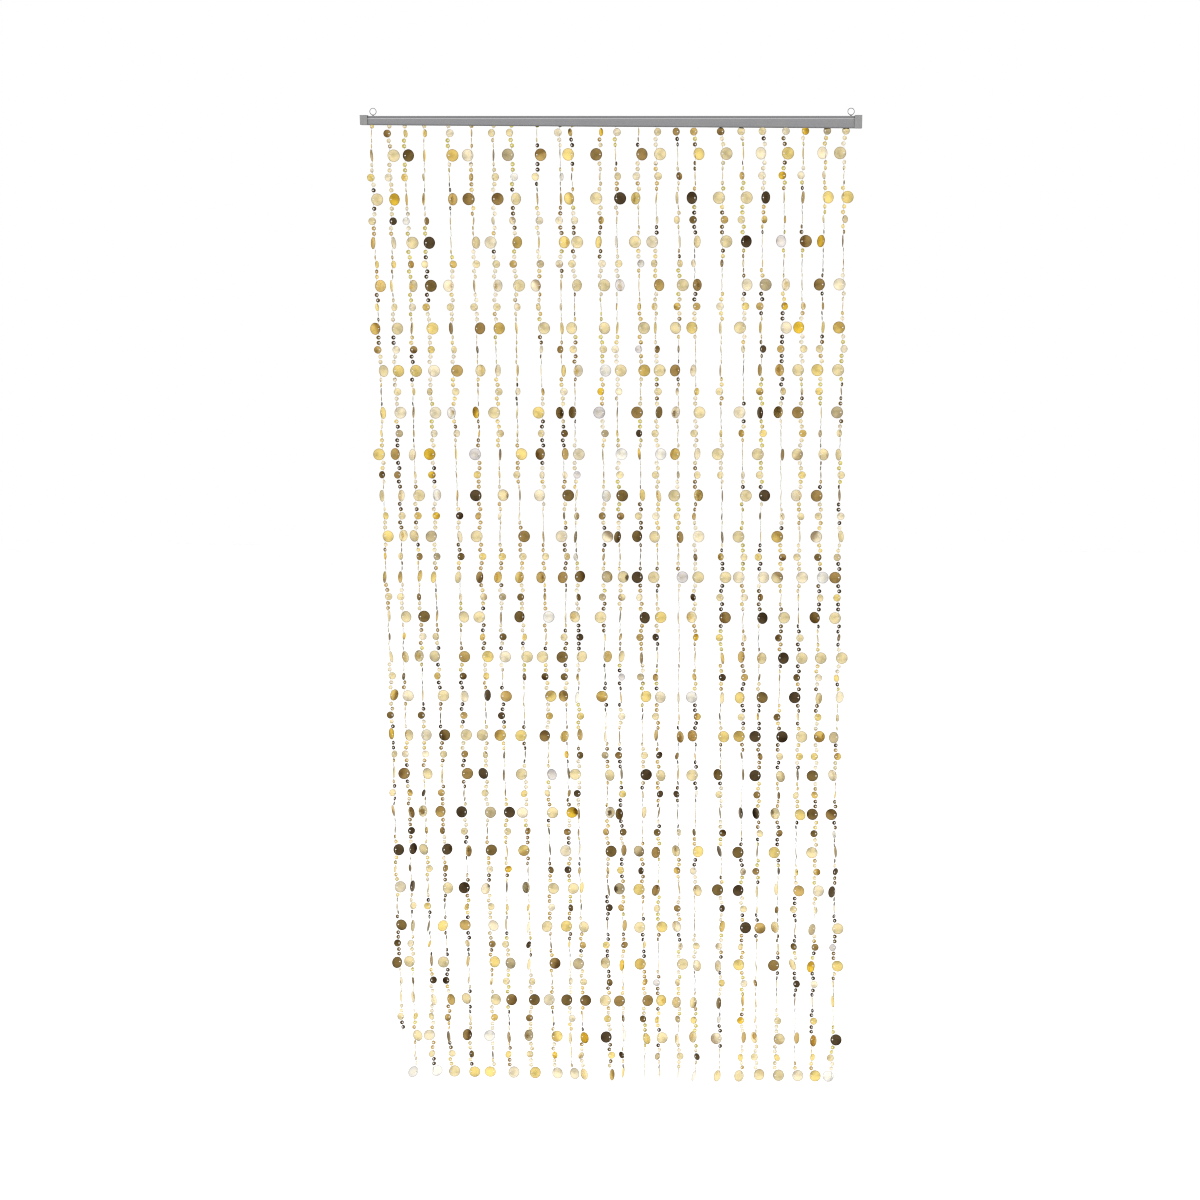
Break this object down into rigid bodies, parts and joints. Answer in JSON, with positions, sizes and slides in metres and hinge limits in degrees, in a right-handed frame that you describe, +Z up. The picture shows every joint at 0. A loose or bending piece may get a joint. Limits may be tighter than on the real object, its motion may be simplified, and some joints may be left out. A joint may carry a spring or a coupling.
{
  "type": "sequin curtain and rail",
  "caption": "Door curtain of spaced strings of flat round sequins that hang in a row from a slim capped rail with ring eyes.",
  "frame": {"origin": "middle of the rail's flat top face", "axes": "+Z up, the strings hang toward -Z, +X along the rail, the curtain's front faces -Y"},
  "size_m": [0.972, 0.0386, 2.0169],
  "materials": {
    "rail": "satin grey enamel, worn a little along its edges",
    "cap": "moulded grey plastic",
    "wire": "bright drawn wire",
    "sequins": "metallised gold film, mirror bright, on hair-thin pale thread",
    "thread": "hair-thin pale thread and the header tape woven of it"
  },
  "bodies": {
    "root": {"rail": "rail", "end_cap_left": "cap", "end_cap_right": "cap", "ring_eye_left": "wire", "ring_eye_right": "wire", "strings_left": "sequins", "strings_right": "sequins"}
  },
  "joints": []
}
